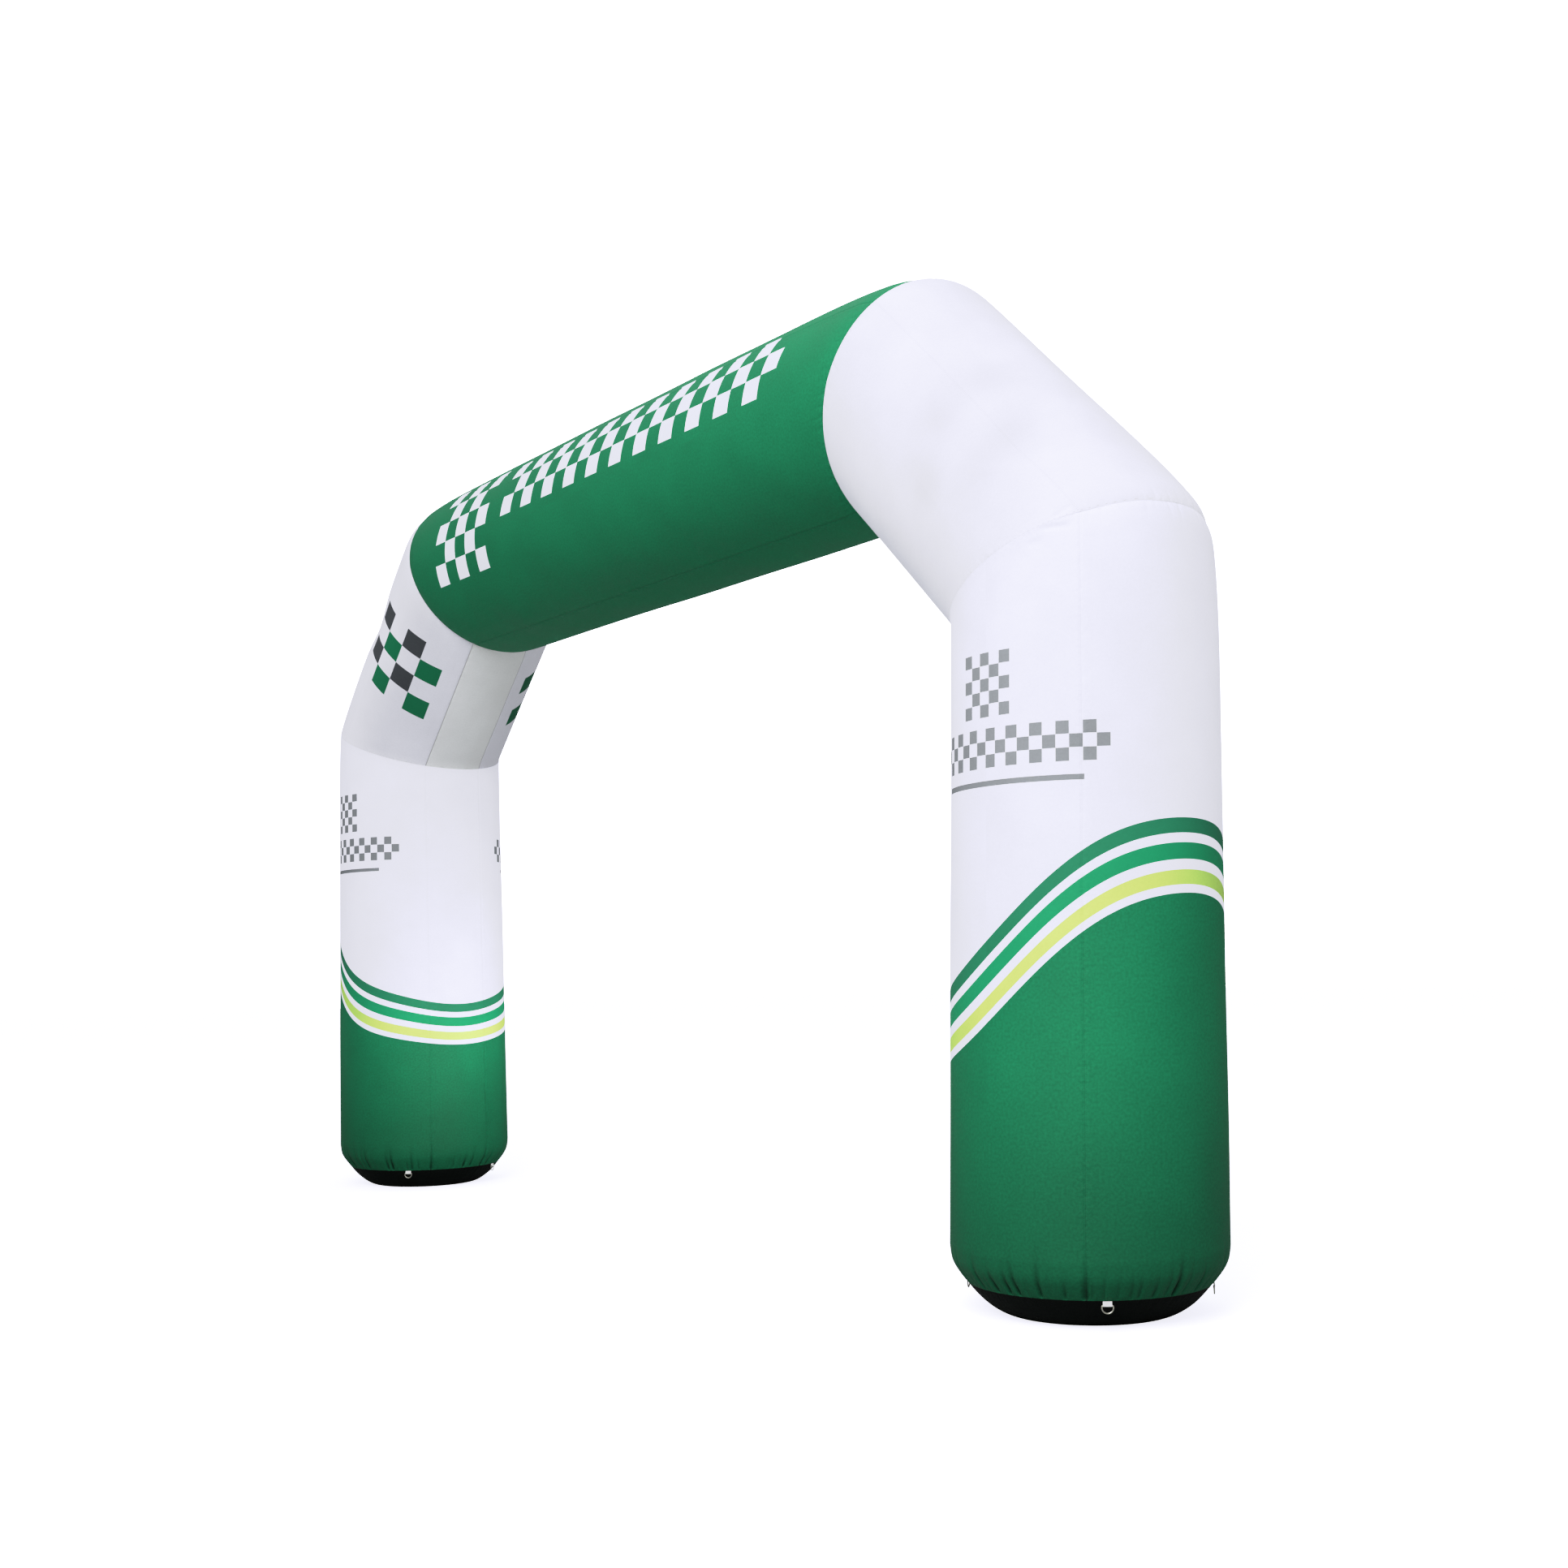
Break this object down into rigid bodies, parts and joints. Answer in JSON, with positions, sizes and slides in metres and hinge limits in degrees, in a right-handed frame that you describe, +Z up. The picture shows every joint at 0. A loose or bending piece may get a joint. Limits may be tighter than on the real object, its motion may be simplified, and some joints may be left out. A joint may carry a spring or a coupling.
{
  "type": "inflatable arch",
  "caption": "Air-filled gateway arch: slanted shoulders and a level crossbar between round legs on rounded black bases with D-rings.",
  "frame": {"origin": "on the ground, midway between the two legs and midway through the tube", "axes": "+X along the arch towards its right leg, +Y from its front to its back, +Z up"},
  "size_m": [6.7042, 0.997, 4.074],
  "materials": {
    "white_cloth": "coated polyester, soft sheen",
    "printed_cloth": "coated polyester, white above and green below, printed stripes between",
    "green_cloth": "coated polyester, soft sheen",
    "black_cloth": "heavy coated cloth, matt",
    "webbing": "woven polyester webbing",
    "ring_metal": "zinc plated wire"
  },
  "bodies": {
    "root": {"crossbar": "green_cloth", "shoulder_left": "white_cloth", "shoulder_right": "white_cloth", "leg_left": "printed_cloth", "leg_right": "printed_cloth", "base_left": "black_cloth", "base_right": "black_cloth", "tab_left_1": "webbing", "tab_left_2": "webbing", "tab_left_3": "webbing", "tab_left_4": "webbing", "tab_right_1": "webbing", "tab_right_2": "webbing", "tab_right_3": "webbing", "tab_right_4": "webbing", "ring_left_1": "ring_metal", "ring_left_2": "ring_metal", "ring_left_3": "ring_metal", "ring_left_4": "ring_metal", "ring_right_1": "ring_metal", "ring_right_2": "ring_metal", "ring_right_3": "ring_metal", "ring_right_4": "ring_metal"}
  },
  "joints": []
}
